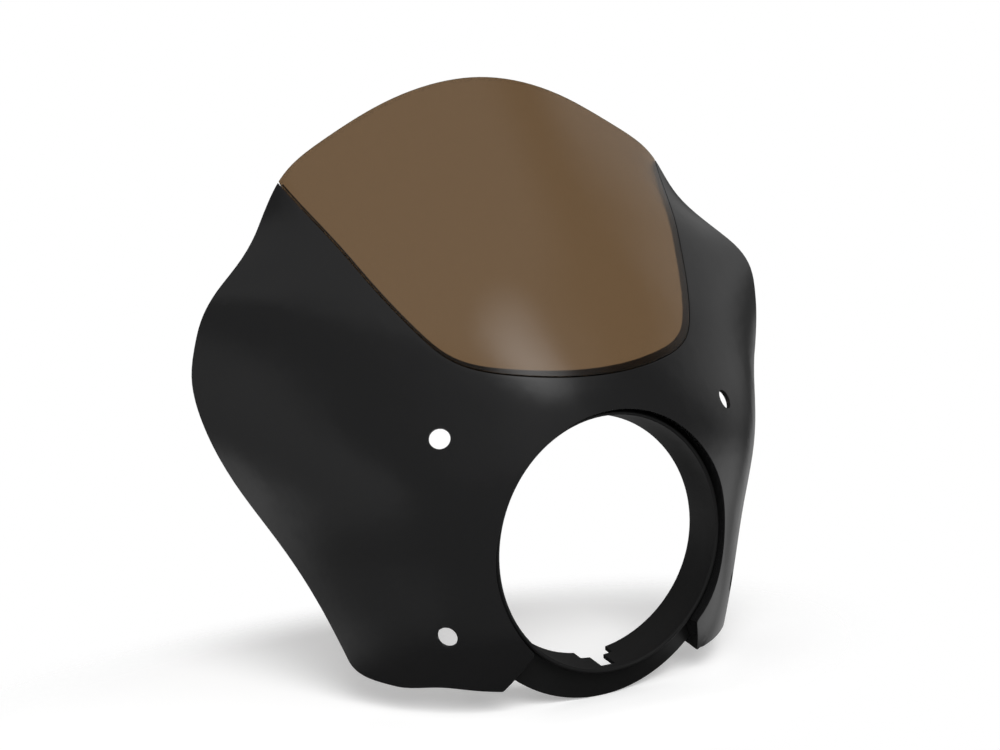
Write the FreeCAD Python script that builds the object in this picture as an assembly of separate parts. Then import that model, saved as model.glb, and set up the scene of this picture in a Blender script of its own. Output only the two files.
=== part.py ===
"""Quarter fairing for a motorcycle: a moulded shell with a windscreen and a headlight ring.

Frame: the origin is the centre of the headlight opening, where its straight wall begins at the front.
The headlight axis lies along Y, the front of the fairing faces -Y, X is its width and Z is up.
All sizes are millimetres.
"""
import FreeCAD, Part
import math
import os
from FreeCAD import Vector

# The moulded skin: horizontal stations, bottom to top. Each row gives the height, the depth on the
# centre line, and then the half width and depth of three points of the section, centre to side.
STATIONS = (
    (-112, 14, (70, 23), (127, 48), (167, 116)),
    (-56, -21, (72, -10), (125, 26), (187, 116)),
    (0, -33, (78, -15), (144, 35), (213, 130)),
    (55, -27, (78, -10), (155.5, 38.5), (240, 155)),
    (106, -5, (81, 14), (164.5, 67), (256, 160)),
    (151, 31, (81, 44), (158, 82), (255, 156)),
    (190, 60, (81, 73), (159, 108), (240, 160)),
    (225, 87, (77, 99), (143, 126), (204, 185)),
    (260, 115, (77, 128), (136, 152), (184, 190)),
    (345, 180, (78, 195), (137, 226), (185, 262)),
)
SHELL_WALL = 3.2
OFFSET_TOLERANCE = 0.01

# Trailing edge of the shell and screen in side view, as depth and height, from the top down, and the
# bottom edge from its rear corner to the front.
TRAILING_EDGE = ((168, 345), (173, 320), (175, 300), (174.5, 268), (171.5, 235), (158, 208), (149, 182),
                 (149, 158), (152, 128), (149, 96), (137, 53), (116, 10), (104, -24), (96, -66), (94, -79))
BOTTOM_EDGE = ((64, -95), (47, -94.3), (33, -93), (23, -95), (15, -98.6))
BOTTOM_TURN = 40.0

# Edge of the windscreen in front view, as half width and height, from the centre to past the top.
# The screen lies flush in a rebate of the shell and is bonded to its narrow ledge.
WINDOW_EDGE = ((0, 121), (66, 126), (102, 138.5), (115, 154), (143, 208), (166.5, 262), (189, 315))
SCREEN_THICKNESS = 3.0
SCREEN_SEAM = 0.8
BOND_GAP = 0.1
REBATE_WALL = 3.0
REBATE_LEDGE = 2.5

# Headlight ring: a collar on a flange that backs the arch and shows below as the chin.
RIM_RADIUS = 92.0
RING_WALL = 3.0
COLLAR_LAND = 8.0
COLLAR_DEPTH = 33.0
COLLAR_TAPER = 0.166
COLLAR_SIDE_RELIEF = 5.4
RIM_CHAMFER = 1.0
FLANGE_DEPTH = 10.0
FLANGE_SLOPE = 0.3
FLANGE_LAP = 6.5
CHIN_LAP = 10.5
CHIN_SPREAD = 56.0
SEAT_GAP = 0.1
NOTCH_STEPS = ((13.6, 23.5), (5.8, 8.4))

# Arch of the shell over the headlight, and the inner corners of its two skirts, in front view.
ARCH_GAP = 2.5
ARCH_WALL = 3.0
ARCH_RADIUS = RIM_RADIUS + RING_WALL + ARCH_GAP
ARCH_END_X = 69.0
SKIRT_TIP_X = 84.0
SKIRT_CORNER_RADIUS = 4.0
SKIRT_TIP_RADIUS = 3.0
SKIRT_WALL_DEPTH = 31.0
CHIN_GAP = 1.0
FLANGE_RADIUS = ARCH_RADIUS + ARCH_WALL + FLANGE_LAP
CHIN_RADIUS = FLANGE_RADIUS + CHIN_LAP

# Mounting holes, drilled square to the skin: half width and height of the upper and lower pair.
HOLE_PLACES = ((121.5, 87.0), (123.0, -53.5))
HOLE_DIAMETER = 15.0

# Longer than the fairing, for cutters that run right through it.
REACH = 400.0
REARWARD = Vector(0, 1, 0)


def curve(points, parameters=None):
    """A smooth curve through the points."""
    spline = Part.BSplineCurve()
    if parameters:
        spline.interpolate(Points=points, Parameters=parameters)
    else:
        spline.interpolate(Points=points)
    return spline


def skin_surface():
    """The outer surface: station curves, then a curve up through each column of their poles."""
    heights = [float(row[0]) for row in STATIONS]
    sections = []
    for z, centre, *half in STATIONS:
        left = [Vector(-x, y, z) for x, y in reversed(half)]
        right = [Vector(x, y, z) for x, y in half]
        lanes = [float(lane) for lane in range(-len(half), len(half) + 1)]
        sections.append(curve(left + [Vector(0, centre, z)] + right, lanes))
    columns = []
    for pole in range(1, sections[0].NbPoles + 1):
        columns.append(curve([section.getPole(pole) for section in sections], heights))
    poles = [[column.getPole(i) for column in columns] for i in range(1, columns[0].NbPoles + 1)]
    surface = Part.BSplineSurface()
    surface.buildFromPolesMultsKnots(
        poles, columns[0].getMultiplicities(), sections[0].getMultiplicities(),
        columns[0].getKnots(), sections[0].getKnots(), False, False, columns[0].Degree, sections[0].Degree)
    return surface


SKIN = skin_surface()
SKIN_FACE = SKIN.toShape()


def slab(start, thickness):
    """The layer of the skin from one depth below its outer surface, as thick as asked."""
    face = SKIN_FACE
    if start:
        face = SKIN_FACE.makeOffsetShape(start, OFFSET_TOLERANCE)
    return face.makeOffsetShape(thickness, OFFSET_TOLERANCE, fill=True)


def prism(edges, direction):
    """A long bar whose section is the closed outline."""
    face = Part.Face(Part.Wire(Part.__sortEdges__(edges)))
    face.translate(direction * -REACH)
    return face.extrude(direction * (2 * REACH))


def line(start, end):
    return Part.LineSegment(start, end).toShape()


def side_bar():
    """Everything in front of the trailing edge and above the bottom edge."""
    tail = curve([Vector(0, y, z) for y, z in TRAILING_EDGE])
    sill = curve([Vector(0, y, z) for y, z in BOTTOM_EDGE])
    down = tail.tangent(tail.LastParameter)[0]
    forward = sill.tangent(sill.FirstParameter)[0]
    turn = Part.BSplineCurve()
    turn.interpolate(Points=[tail.EndPoint, sill.StartPoint], InitialTangent=down * BOTTOM_TURN,
                     FinalTangent=forward * BOTTOM_TURN)
    low = Vector(0, -REACH, sill.EndPoint.z)
    high = Vector(0, -REACH, tail.StartPoint.z)
    edges = [tail.toShape(), turn.toShape(), sill.toShape(), line(sill.EndPoint, low), line(low, high),
             line(high, tail.StartPoint)]
    return prism(edges, Vector(1, 0, 0))


def window_bar(grow):
    """The windscreen's outline in front view, grown by a margin, run through the fairing."""
    half = [Vector(x, 0, z) for x, z in WINDOW_EDGE]
    plain = curve([Vector(-p.x, 0, p.z) for p in reversed(half[1:])] + half)
    points = []
    for p in half[1:]:
        along = plain.tangent(plain.parameter(p))[0]
        out = Vector(along.z, 0, -along.x)
        points.append(p + out * grow)
    low = Vector(0, 0, half[0].z - grow)
    left = [Vector(-p.x, 0, p.z) for p in reversed(points)]
    rim = curve(left + [low] + points)
    top_right = Vector(points[-1].x, 0, REACH)
    top_left = Vector(-top_right.x, 0, REACH)
    edges = [rim.toShape(), line(points[-1], top_right), line(top_right, top_left), line(top_left, left[0])]
    return prism(edges, REARWARD)


def round_corner(bar, place, radius):
    """Round the two mirrored edges of a bar that run along Y through one place in front view."""
    chosen = []
    for edge in bar.Edges:
        box = edge.BoundBox
        along = box.YLength > REACH
        if along and math.hypot(abs(box.Center.x) - place.x, box.Center.z - place.z) < 1e-6:
            chosen.append(edge)
    return bar.makeFillet(radius, chosen)


def opening_bar(grow):
    """The arch over the headlight and the gap between the skirts, grown by a margin."""
    radius = ARCH_RADIUS + grow
    end_x = ARCH_END_X + grow
    end = Vector(end_x, 0, -math.sqrt(radius ** 2 - end_x ** 2))
    tip = Vector(SKIRT_TIP_X + grow, 0, BOTTOM_EDGE[-1][1])
    step = tip + Vector(4 * SKIRT_TIP_RADIUS, 0, 0)
    foot = step - Vector(0, 0, 4 * SKIRT_TIP_RADIUS)
    right = [end, tip, step, foot]
    left = [Vector(-p.x, 0, p.z) for p in right]
    edges = [Part.Arc(end, Vector(0, 0, radius), left[0]).toShape(), line(foot, left[-1])]
    for side in (right, left):
        edges += [line(a, b) for a, b in zip(side, side[1:])]
    bar = prism(edges, REARWARD)
    bar = round_corner(bar, end, max(SKIRT_CORNER_RADIUS - grow, SKIRT_CORNER_RADIUS / 4))
    return round_corner(bar, tip, SKIRT_TIP_RADIUS)


def revolved(profile, turn=360.0):
    """A profile of radius and depth, turned about the headlight axis, symmetrical about its low point."""
    points = [Vector(0, y, -r) for r, y in profile]
    face = Part.Face(Part.makePolygon(points + points[:1]))
    face.rotate(Vector(0, 0, 0), Vector(0, 1, 0), -turn / 2)
    return face.revolve(Vector(0, 0, 0), Vector(0, 1, 0), turn)


def flange_face(radius):
    """Depth of the ring flange's front face."""
    return FLANGE_DEPTH + FLANGE_SLOPE * (radius - RIM_RADIUS)


def skin_point(x, z):
    """The point of the skin at a place in front view, and the skin's direction outwards there."""
    inner, outer = SKIN.bounds()[2:]
    for _ in range(50):
        middle = (inner + outer) / 2
        if SKIN.value(z, middle).x < x:
            inner = middle
        else:
            outer = middle
    return SKIN.value(z, inner), SKIN.normal(z, inner) * -1


def mounting_holes():
    """Round cutters through the skin, square to it."""
    cutters = []
    for x, z in HOLE_PLACES:
        for side in (-1, 1):
            place, out = skin_point(side * x, z)
            start = place + out * HOLE_DIAMETER
            cutters.append(Part.makeCylinder(HOLE_DIAMETER / 2, 2 * HOLE_DIAMETER, start, out * -1))
    return cutters


def fairing_shell():
    """Skin, the rebate round the window, and the wall that turns in along the arch."""
    step = SCREEN_THICKNESS + BOND_GAP
    window = window_bar(SCREEN_SEAM)
    window_out = window_bar(SCREEN_SEAM + REBATE_WALL)
    opening = opening_bar(0)
    side = side_bar()
    skin = slab(0, SHELL_WALL).common(side).cut(window).cut(opening)
    step_wall = slab(0, step + SHELL_WALL).common(window_out.cut(window)).common(side)
    ledge = slab(step, SHELL_WALL).common(window_out.cut(window_bar(-REBATE_LEDGE))).common(side)
    behind_skin = SKIN_FACE.extrude(REARWARD * REACH)
    past_chin = CHIN_RADIUS + CHIN_GAP
    before_ring = revolved([(0, -REACH), (REACH, -REACH), (REACH, SKIRT_WALL_DEPTH), (past_chin, SKIRT_WALL_DEPTH),
                            (past_chin, flange_face(past_chin) - SEAT_GAP), (0, flange_face(0) - SEAT_GAP)])
    arch_wall = opening_bar(ARCH_WALL).cut(opening).common(behind_skin).common(before_ring).common(side)
    shell = skin.multiFuse([step_wall, ledge, arch_wall])
    return shell.cut(Part.makeCompound(mounting_holes()))


def windscreen():
    """Tinted panel, flush with the skin."""
    return slab(0, SCREEN_THICKNESS).common(window_bar(0)).common(side_bar())


def headlight_ring():
    """Tapered collar with a flange, a wider chin below, and a stepped notch in its low rear edge."""
    root = RIM_RADIUS + RING_WALL
    drawn_in = RIM_RADIUS - COLLAR_TAPER * (COLLAR_DEPTH - COLLAR_LAND)
    inside = [(RIM_RADIUS, -RIM_CHAMFER), (RIM_RADIUS, COLLAR_LAND), (drawn_in, COLLAR_DEPTH)]
    outside = [(radius + RING_WALL, y) for radius, y in reversed(inside)]
    saddle = RIM_RADIUS ** 2 / (2 * COLLAR_SIDE_RELIEF)
    rear = Part.makeCylinder(saddle, 2 * REACH, Vector(0, COLLAR_DEPTH - saddle, -REACH))
    pieces = [revolved(inside + outside).common(rear)]
    seat = RIM_RADIUS + RING_WALL / 2
    for radius, turn in ((FLANGE_RADIUS, 360.0), (CHIN_RADIUS, 2 * CHIN_SPREAD)):
        front = [(seat, flange_face(seat)), (radius, flange_face(radius))]
        back = [(r, y + RING_WALL) for r, y in reversed(front)]
        pieces.append(revolved(front + back, turn))
    ring = pieces[0].multiFuse(pieces[1:])
    for half_width, depth in NOTCH_STEPS:
        corner = Vector(-half_width, depth, -root)
        ring = ring.cut(Part.makeBox(2 * half_width, COLLAR_DEPTH, root / 2, corner))
    ring = ring.removeSplitter()
    rim = [edge for edge in ring.Edges if edge.BoundBox.YMax < -RIM_CHAMFER + 1e-6]
    return ring.makeChamfer(RIM_CHAMFER, rim)


os.makedirs("parts", exist_ok=True)
PIECES = {"fairing_shell": fairing_shell(), "windscreen": windscreen(), "headlight_ring": headlight_ring()}
for name, shape in PIECES.items():
    solids = shape.Solids
    print(name, len(solids), "solid", shape.isValid(), "volume", round(shape.Volume), shape.BoundBox)
    Part.makeCompound(solids).exportStep("parts/" + name + ".step")
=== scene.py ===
# %% [markdown]
# A quarter fairing is the small shield that stands round a motorcycle's headlight. This one has a gloss
# black shell, a bronze windscreen let into its top, and a black collar round the headlight opening.
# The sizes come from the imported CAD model, which is loaded first and never moved. Everything after that
# is about how the part looks: rounded edges, finishes, light and the camera.

# %% Load the frame
import math

import bmesh
import bpy
from mathutils import Matrix, Vector


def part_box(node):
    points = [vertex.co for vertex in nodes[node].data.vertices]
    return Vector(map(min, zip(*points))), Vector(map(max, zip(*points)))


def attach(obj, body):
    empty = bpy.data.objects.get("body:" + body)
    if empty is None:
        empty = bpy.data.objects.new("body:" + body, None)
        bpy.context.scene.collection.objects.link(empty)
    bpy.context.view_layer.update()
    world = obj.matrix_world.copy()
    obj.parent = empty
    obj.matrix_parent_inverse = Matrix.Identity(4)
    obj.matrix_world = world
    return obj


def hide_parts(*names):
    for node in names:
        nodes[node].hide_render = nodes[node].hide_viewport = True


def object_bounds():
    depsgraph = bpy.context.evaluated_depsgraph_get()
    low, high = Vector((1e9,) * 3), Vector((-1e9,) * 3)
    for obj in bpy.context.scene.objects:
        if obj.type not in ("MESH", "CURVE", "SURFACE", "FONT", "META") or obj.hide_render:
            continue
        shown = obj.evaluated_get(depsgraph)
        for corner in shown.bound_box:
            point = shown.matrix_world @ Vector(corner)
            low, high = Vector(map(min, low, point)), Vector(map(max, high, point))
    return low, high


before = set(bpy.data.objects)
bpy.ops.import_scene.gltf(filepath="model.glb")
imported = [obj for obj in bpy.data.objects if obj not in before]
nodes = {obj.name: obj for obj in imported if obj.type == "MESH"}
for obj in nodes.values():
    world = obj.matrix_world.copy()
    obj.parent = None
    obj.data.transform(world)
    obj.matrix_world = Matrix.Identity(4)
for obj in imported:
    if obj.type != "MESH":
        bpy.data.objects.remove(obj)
cad_box = [list(corner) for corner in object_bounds()]
print("nodes", sorted(nodes), "box", cad_box)

# %% [markdown]
# The camera comes before anything else, so that every later choice can be held against the photograph.
# Its place was found by fitting the round headlight opening and the paired mounting holes, which also
# showed that the camera leaned by two degrees. The three turns are applied in the order a tripod head has:
# pan, then tilt, then roll.

# %% Camera
CAMERA_PLACE = Vector((-0.7181, -1.1000, 0.3222))
CAMERA_PAN = math.radians(-29.87)
CAMERA_TILT = math.radians(8.61)
CAMERA_ROLL = math.radians(-2.04)
LENS_LENGTH = 67.93
SENSOR_WIDTH = 36.0

lens = bpy.data.cameras.new("photo_camera")
lens.sensor_fit = "HORIZONTAL"
lens.sensor_width = SENSOR_WIDTH
lens.lens = LENS_LENGTH
camera = bpy.data.objects.new("photo_camera", lens)
bpy.context.collection.objects.link(camera)
turned = Matrix.Rotation(CAMERA_PAN, 4, "Z")
turned = turned @ Matrix.Rotation(math.pi / 2 - CAMERA_TILT, 4, "X")
turned = turned @ Matrix.Rotation(CAMERA_ROLL, 4, "Z")
camera.matrix_world = Matrix.Translation(CAMERA_PLACE) @ turned
bpy.context.scene.camera = camera
bpy.context.scene.view_settings.view_transform = "Standard"
print("camera", [round(v, 3) for v in camera.location], "lens", lens.lens)

# %% [markdown]
# Moulded plastic is never a perfect mirror. Under paint or lacquer there is a slow ripple called orange
# peel, handling leaves faint differences in gloss, and a little dust settles. All three finishes need this,
# so it is one shader node group with its own settings. It gives a height for the bump, a roughness that
# wanders between two values, and a dust mask.

# %% Moulded surface group
moulded_surface = bpy.data.node_groups.new("moulded_surface", "ShaderNodeTree")
for title in ("Peel Scale", "Smooth", "Dull", "Dust"):
    moulded_surface.interface.new_socket(title, in_out="INPUT", socket_type="NodeSocketFloat")
for title in ("Height", "Roughness", "Dust"):
    moulded_surface.interface.new_socket(title, in_out="OUTPUT", socket_type="NodeSocketFloat")
settings = moulded_surface.nodes.new("NodeGroupInput")
results = moulded_surface.nodes.new("NodeGroupOutput")
print("group", moulded_surface.name, [item.name for item in moulded_surface.interface.items_tree])

# %% [markdown]
# Inside the group, each effect is a noise texture. It could be painted as a picture, but noise on the
# object's own coordinates needs no picture and shows no seam. The peel is used as it comes. The haze is
# spread over most of the noise's range, so the gloss changes slowly everywhere. The dust takes only the
# peaks of a much finer noise, so it lies in separate grains.

# %% Peel, haze and dust
PEEL = {"Detail": 1.5}
HAZE = {"Scale": 14.0, "Detail": 4.0}
HAZE_SPAN = {"From Min": 0.35, "From Max": 0.68}
SPECKS = {"Scale": 900.0, "Detail": 2.0}
SPECK_SPAN = {"From Min": 0.64, "From Max": 0.78}

link = moulded_surface.links.new
surface_place = moulded_surface.nodes.new("ShaderNodeTexCoord")


def set_inputs(node, values):
    for title, value in values.items():
        node.inputs[title].default_value = value


def noise(values):
    texture = moulded_surface.nodes.new("ShaderNodeTexNoise")
    set_inputs(texture, values)
    link(surface_place.outputs["Object"], texture.inputs["Vector"])
    return texture


def spread(texture, span):
    ramp = moulded_surface.nodes.new("ShaderNodeMapRange")
    set_inputs(ramp, span)
    link(texture.outputs["Fac"], ramp.inputs["Value"])
    return ramp


peel = noise(PEEL)
link(settings.outputs["Peel Scale"], peel.inputs["Scale"])
link(peel.outputs["Fac"], results.inputs["Height"])
gloss = spread(noise(HAZE), HAZE_SPAN)
link(settings.outputs["Smooth"], gloss.inputs["To Min"])
link(settings.outputs["Dull"], gloss.inputs["To Max"])
link(gloss.outputs["Result"], results.inputs["Roughness"])
grains = spread(noise(SPECKS), SPECK_SPAN)
link(settings.outputs["Dust"], grains.inputs["To Max"])
link(grains.outputs["Result"], results.inputs["Dust"])
print("surface", len(moulded_surface.nodes), "nodes")

# %% [markdown]
# A finish is built by one function, so that only its numbers differ. The group drives the roughness and the
# bump, and its dust mask mixes a little dust into the colour. The shell and the ring are both black, but
# not the same black: the shell is polished until it carries soft highlights, and the ring is a satin
# moulding with a finer grain.

# %% Black finishes
BLACK_DUST = (0.045, 0.045, 0.046)


def new_material(title):
    material = bpy.data.materials.new(title)
    material.use_nodes = True
    return material, material.node_tree, material.node_tree.nodes["Principled BSDF"]


def moulded_finish(title, colour, dust_colour, dust, smooth, dull, peel_scale, peel_depth):
    material, tree, shader = new_material(title)
    surface = tree.nodes.new("ShaderNodeGroup")
    surface.node_tree = moulded_surface
    set_inputs(surface, {"Peel Scale": peel_scale, "Smooth": smooth, "Dull": dull, "Dust": dust})
    tint = tree.nodes.new("ShaderNodeMix")
    tint.data_type = "RGBA"
    set_inputs(tint, {"A": (*colour, 1), "B": (*dust_colour, 1)})
    bump = tree.nodes.new("ShaderNodeBump")
    set_inputs(bump, {"Distance": peel_depth})
    tree.links.new(surface.outputs["Dust"], tint.inputs["Factor"])
    tree.links.new(tint.outputs["Result"], shader.inputs["Base Color"])
    tree.links.new(surface.outputs["Roughness"], shader.inputs["Roughness"])
    tree.links.new(surface.outputs["Height"], bump.inputs["Height"])
    tree.links.new(bump.outputs["Normal"], shader.inputs["Normal"])
    return material


gloss_black = moulded_finish(
    "gloss_black",
    colour=(0.0087, 0.0087, 0.0089),
    dust_colour=BLACK_DUST,
    dust=0.1,
    smooth=0.18,
    dull=0.25,
    peel_scale=240.0,
    peel_depth=0.00003,
)
satin_black = moulded_finish(
    "satin_black",
    colour=(0.0072, 0.0072, 0.0073),
    dust_colour=BLACK_DUST,
    dust=0.12,
    smooth=0.5,
    dull=0.6,
    peel_scale=700.0,
    peel_depth=0.00004,
)
print("finishes", gloss_black.name, satin_black.name)

# %% [markdown]
# The windscreen is tinted acrylic. It could be faked with a see-through brown colour, but a refracting
# shader also bends the view at its cut edge, as the real sheet does. A volume could carry the tint, but the
# sheet has one thickness, so a colour on the faces that a ray crosses does the same with less noise. Very
# faint waviness keeps it from looking perfect.

# %% Bronze acrylic
bronze_acrylic = moulded_finish(
    "bronze_acrylic",
    colour=(0.148, 0.09, 0.0445),
    dust_colour=(0.3, 0.26, 0.21),
    dust=0.12,
    smooth=0.12,
    dull=0.16,
    peel_scale=40.0,
    peel_depth=0.00002,
)
acrylic_shader = bronze_acrylic.node_tree.nodes["Principled BSDF"]
set_inputs(acrylic_shader, {"Transmission Weight": 1.0, "IOR": 1.49, "Metallic": 0.0})
print("finish", bronze_acrylic.name)

# %% [markdown]
# Real mouldings have no knife edges: a trimmed edge is sanded round, and that thin round catches the light.
# The CAD solids have sharp edges, so each is copied, its loose triangles are joined, and a Bevel modifier
# rounds only the edges where two faces meet at a clear angle. The copy takes the place of the CAD node. The
# round has to be smaller than the triangles beside it, or they fold over: so it is narrow, and in the shell,
# which has slivers at its rims, points closer than a millimetre are merged into one first.

# %% Rounded copies of the solids
SHARP_ANGLE = math.radians(35)
ROUND_SEGMENTS = 2
FLAT_FACE_WEIGHT = 100
SKIN_ROUND = 0.0003
RING_ROUND = 0.0002
SAME_POINT = 0.00001
SLIVER = 0.001


def object_from(shape, title, material):
    mesh = bpy.data.meshes.new(title)
    shape.to_mesh(mesh)
    shape.free()
    mesh.materials.append(material)
    thing = bpy.data.objects.new(title, mesh)
    bpy.context.collection.objects.link(thing)
    return thing


def rounded_copy(node, title, material, round_width, merge_distance):
    shape = bmesh.new()
    shape.from_mesh(nodes[node].data)
    bmesh.ops.remove_doubles(shape, verts=shape.verts, dist=merge_distance)
    for face in shape.faces:
        face.smooth = True
    piece = object_from(shape, title, material)
    bevel = piece.modifiers.new("rounded_edges", "BEVEL")
    bevel.width = round_width
    bevel.segments = ROUND_SEGMENTS
    bevel.limit_method = "ANGLE"
    bevel.angle_limit = SHARP_ANGLE
    bevel.use_clamp_overlap = False
    shading = piece.modifiers.new("shading_from_large_faces", "WEIGHTED_NORMAL")
    shading.mode = "FACE_AREA"
    shading.weight = FLAT_FACE_WEIGHT
    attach(piece, "root")
    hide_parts(node)
    print(title, len(piece.data.polygons), "triangles before rounding")


rounded_copy("fairing_shell", "gloss_shell", gloss_black, SKIN_ROUND, SLIVER)
rounded_copy("windscreen", "bronze_screen", bronze_acrylic, SKIN_ROUND, SAME_POINT)
rounded_copy("headlight_ring", "headlight_collar", satin_black, RING_ROUND, SAME_POINT)

# %% [markdown]
# The photograph has a white studio ground with a soft shadow. A large plane at the height of the chin
# catches the shadow. Its colour is nearly white, and a little extra light for the camera's own rays takes
# it the rest of the way, so that no lamp has to be turned up.

# %% Floor
WHITE = (1, 1, 1, 1)
PART_WIDTH = cad_box[1][0] - cad_box[0][0]
FLOOR_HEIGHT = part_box("headlight_ring")[0][2]
FLOOR_HALF = 2 * PART_WIDTH
FLOOR_LIFT = 0.26

shape = bmesh.new()
bmesh.ops.create_grid(shape, x_segments=1, y_segments=1, size=FLOOR_HALF)
bmesh.ops.translate(shape, verts=shape.verts, vec=(0, 0, FLOOR_HEIGHT))
floor_white, floor_tree, floor_shader = new_material("floor_white")
floor = object_from(shape, "studio_floor", floor_white)

set_inputs(floor_shader, {"Roughness": 0.9, "Specular IOR Level": 0.0, "Emission Color": WHITE})
floor_rays = floor_tree.nodes.new("ShaderNodeLightPath")
lift = floor_tree.nodes.new("ShaderNodeMath")
lift.operation = "MULTIPLY"
lift.inputs[1].default_value = FLOOR_LIFT
floor_tree.links.new(floor_rays.outputs["Is Camera Ray"], lift.inputs[0])
floor_tree.links.new(lift.outputs["Value"], floor_shader.inputs["Emission Strength"])
print("floor at", round(FLOOR_HEIGHT, 4))

# %% [markdown]
# Away from the part the floor fades into the white of the backdrop, so there is no horizon. In the photograph
# the lowest edge of the shell mirrors a dark ground, the part's own shadow close under it. A dark floor would
# not do for the camera, so the same plane shows mirrored rays painted shade instead: only a small near-black
# patch, close under the part, standing in for that shadow. Each patch is an oval with a soft rim. Its middle
# and its half widths are in widths of the part, and its rim begins and ends at shares of those half widths.

# %% Floor patches and painted shade
SEEN_PATCH = {"middle": (-0.24, 0.24), "half_widths": (0.92, 0.52), "rim": (0.6, 1.0)}
# The second patch is where mirrored rays find the painted shade; outside it they pass through the floor to
# the room.
PAINTED_SHADE_PATCH = {"middle": (-0.12, 0.1), "half_widths": (0.36, 0.28), "rim": (0.8, 1.1)}
SEEN_TONE = (0.9, 0.9, 0.9, 1)
# The mirrored tone is painted shade: a near-black that stands in for the part's shadow on the floor beneath
# it.
MIRRORED_PAINTED_SHADE = (0.03, 0.03, 0.03, 1)


def soft_step(tree, value, start, end, before, after):
    step = tree.nodes.new("ShaderNodeMapRange")
    step.interpolation_type = "SMOOTHSTEP"
    set_inputs(step, {"From Min": start, "From Max": end, "To Min": before, "To Max": after})
    tree.links.new(value, step.inputs["Value"])
    return step.outputs["Result"]


def oval_patch(middle, half_widths, rim):
    place = floor_tree.nodes.new("ShaderNodeTexCoord")
    oval = floor_tree.nodes.new("ShaderNodeMapping")
    oval.vector_type = "TEXTURE"
    oval.inputs["Location"].default_value = (*(Vector(middle) * PART_WIDTH), FLOOR_HEIGHT)
    oval.inputs["Scale"].default_value = (*(Vector(half_widths) * PART_WIDTH), 1.0)
    floor_tree.links.new(place.outputs["Object"], oval.inputs["Vector"])
    reach = floor_tree.nodes.new("ShaderNodeVectorMath")
    reach.operation = "LENGTH"
    floor_tree.links.new(oval.outputs["Vector"], reach.inputs[0])
    return soft_step(floor_tree, reach.outputs["Value"], *rim, 1.0, 0.0)


cover = floor_tree.nodes.new("ShaderNodeMix")
floor_tree.links.new(floor_rays.outputs["Is Glossy Ray"], cover.inputs["Factor"])
floor_tree.links.new(oval_patch(**SEEN_PATCH), cover.inputs["A"])
floor_tree.links.new(oval_patch(**PAINTED_SHADE_PATCH), cover.inputs["B"])
floor_tree.links.new(cover.outputs["Result"], floor_shader.inputs["Alpha"])
# Mirrored rays take the painted shade colour, and all other rays take the near-white floor.
floor_tone_and_painted_shade = floor_tree.nodes.new("ShaderNodeMix")
floor_tone_and_painted_shade.data_type = "RGBA"
set_inputs(floor_tone_and_painted_shade, {"A": SEEN_TONE, "B": MIRRORED_PAINTED_SHADE})
floor_tree.links.new(floor_rays.outputs["Is Glossy Ray"], floor_tone_and_painted_shade.inputs["Factor"])
floor_tree.links.new(floor_tone_and_painted_shade.outputs["Result"], floor_shader.inputs["Base Color"])
print("floor patches", len(floor_tree.nodes), "nodes")

# %% [markdown]
# The world is the studio room. Gloss black shows whatever it mirrors, so mirrored rays find a room with some
# form: pale walls, a ceiling, a faint panel in front, and bright sills low down that draw the glow along the
# trailing edges. A picture of a room could serve, but a few soft sides are easier to place. Each has a middle
# direction, the cosines where it begins and where it is full, and a level. They add up over a little dusk.

# %% Mirrored room
DUSK = 0.055
PALE_SIDES = {
    "ceiling": ((0, 0, 1), 0.72, 0.86, 0.25),
    "left wall": ((-1, 0, 0), 0.78, 0.87, 0.22),
    "left sill": ((-0.78, 0.45, -0.43), 0.9, 0.955, 0.76),
    "front wall": ((0, -1, 0), 0.0, 0.5, 0.06),
    "front panel": ((0.1, -0.8, 0.59), 0.92, 0.985, 0.13),
    "right wall": ((0.84, 0.34, 0.42), 0.86, 0.97, 0.31),
    "right low": ((0.9, -0.2, -0.39), 0.8, 0.97, 0.7),
    "right sill": ((0.7, 0.6, -0.39), 0.945, 0.975, 0.34),
    "rear floor": ((0.1, 0.75, -0.65), 0.8, 0.95, 0.3),
}

world = bpy.data.worlds.new("studio_room")
bpy.context.scene.world = world
world.use_nodes = True
room_tree = world.node_tree
room_tree.nodes.clear()
heading = room_tree.nodes.new("ShaderNodeTexCoord")


def combine(operation, first, second):
    node = room_tree.nodes.new("ShaderNodeMath")
    node.operation = operation
    for socket, value in zip(node.inputs, (first, second)):
        if isinstance(value, float):
            socket.default_value = value
        else:
            room_tree.links.new(value, socket)
    return node.outputs["Value"]


def pale_side(middle, begins, full, level):
    towards = room_tree.nodes.new("ShaderNodeVectorMath")
    towards.operation = "DOT_PRODUCT"
    towards.inputs[1].default_value = middle
    room_tree.links.new(heading.outputs["Generated"], towards.inputs[0])
    return soft_step(room_tree, towards.outputs["Value"], begins, full, 0.0, level)


mirrored = DUSK
for side in PALE_SIDES.values():
    mirrored = combine("ADD", pale_side(*side), mirrored)
print("mirrored room", len(PALE_SIDES), "pale sides")

# %% [markdown]
# Rays from the camera, and rays that pass through the screen, find a plain white backdrop, as in the
# photograph. Diffuse rays find an even grey that fills the shadows. One background shader serves all of
# them: the Light Path node says what kind a ray is, and so picks the strength that it finds.

# %% World
FILL = 0.4

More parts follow.
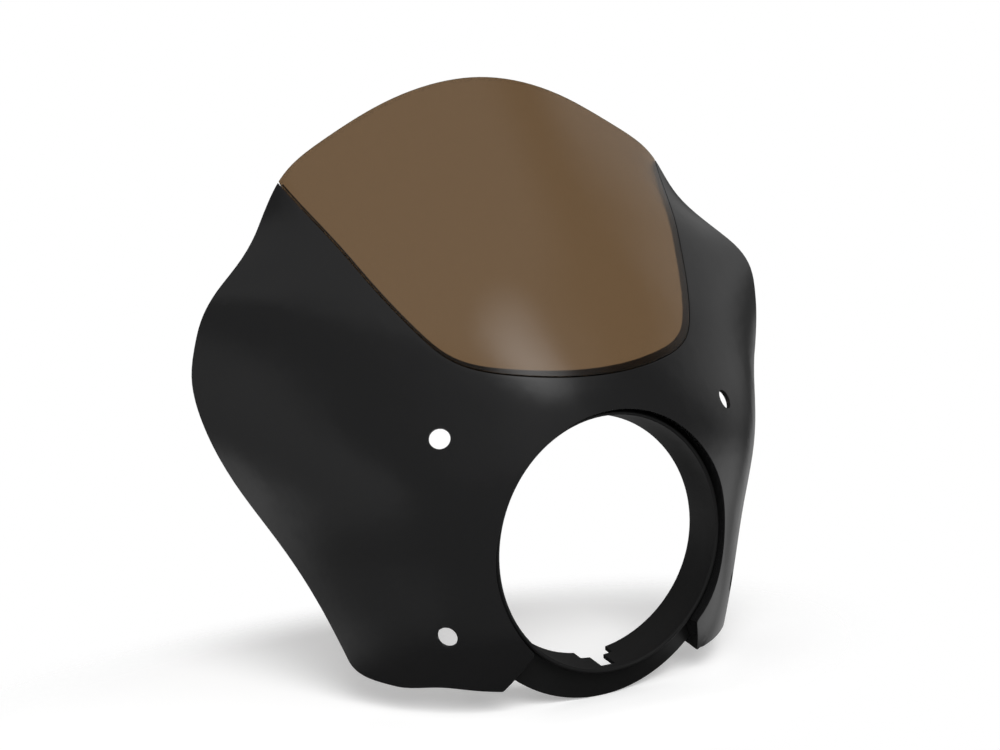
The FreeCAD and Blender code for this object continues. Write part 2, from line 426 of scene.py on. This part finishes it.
rays = room_tree.nodes.new("ShaderNodeLightPath")
mirrored = combine("MULTIPLY", mirrored, rays.outputs["Is Glossy Ray"])
backdrop = combine("MAXIMUM", rays.outputs["Is Camera Ray"], rays.outputs["Is Transmission Ray"])
fill = combine("MULTIPLY", rays.outputs["Is Diffuse Ray"], FILL)
strength = combine("MAXIMUM", combine("MAXIMUM", backdrop, mirrored), fill)
room = room_tree.nodes.new("ShaderNodeBackground")
room.inputs["Color"].default_value = WHITE
room_tree.links.new(strength, room.inputs["Strength"])
result = room_tree.nodes.new("ShaderNodeOutputWorld")
room_tree.links.new(room.outputs["Background"], result.inputs["Surface"])
print("world", world.name, len(room_tree.nodes), "nodes")

# %% [markdown]
# One broad soft box stands in front, to the left and above, and throws the soft shadow behind the part. A
# small lamp would throw a hard one. The box is kept out of mirrored rays, which no real lamp can do, because
# its square shape would show on the screen.

# %% Soft box
KEY_PLACE = Vector((-0.5, -1.2, 0.95))
KEY_AIM = Vector((0.0, 0.1, -0.1))
KEY_SIZE = 0.9
KEY_WATTS = 26.0

lamp = bpy.data.lights.new("soft_box", "AREA")
lamp.size = KEY_SIZE
lamp.energy = KEY_WATTS
soft_box = bpy.data.objects.new("soft_box", lamp)
bpy.context.collection.objects.link(soft_box)
soft_box.location = KEY_PLACE
soft_box.rotation_euler = (KEY_AIM - KEY_PLACE).to_track_quat("-Z", "Y").to_euler()
soft_box.visible_glossy = False
soft_box.visible_transmission = False
print("light", soft_box.name, lamp.energy, "W")

# %% [markdown]
# The photograph has one soft glow at the foot of the screen. A far lamp would smear it up the whole height,
# because the screen is nearly straight that way. A small card held close to the foot keeps it low and wide.
# The card is brightest in the middle and fades to nothing at its rim, and only mirrored rays find it.

# %% Glow card
SCREEN_FOOT = Vector((0.0, *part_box("windscreen")[0][1:]))
CARD_MIDDLE = SCREEN_FOOT + Vector((-0.022, -0.056, 0.139))
CARD_AIM = SCREEN_FOOT + Vector((-0.052, 0.015, 0.01))
CARD_HALF = 0.075
CARD_LEVEL = 2.6
BLACK = (0, 0, 0, 1)

shape = bmesh.new()
bmesh.ops.create_grid(shape, x_segments=1, y_segments=1, size=CARD_HALF)
turn = (CARD_AIM - CARD_MIDDLE).to_track_quat("Z", "Y").to_matrix().to_4x4()
bmesh.ops.transform(shape, matrix=Matrix.Translation(CARD_MIDDLE) @ turn, verts=shape.verts)
card_light, card_tree, card_shader = new_material("card_light")
card = object_from(shape, "glow_card", card_light)
card.visible_camera = False
card.visible_diffuse = False
card.visible_transmission = False
card.visible_shadow = False

set_inputs(card_shader, {"Base Color": BLACK, "Specular IOR Level": 0.0})
set_inputs(card_shader, {"Emission Color": WHITE, "Emission Strength": CARD_LEVEL})
card_place = card_tree.nodes.new("ShaderNodeTexCoord")
reach = card_tree.nodes.new("ShaderNodeVectorMath")
reach.operation = "DISTANCE"
reach.inputs[1].default_value = CARD_MIDDLE
card_tree.links.new(card_place.outputs["Object"], reach.inputs[0])
glow = soft_step(card_tree, reach.outputs["Value"], 0.0, CARD_HALF, 1.0, 0.0)
card_tree.links.new(glow, card_shader.inputs["Alpha"])
print("glow card", CARD_HALF)
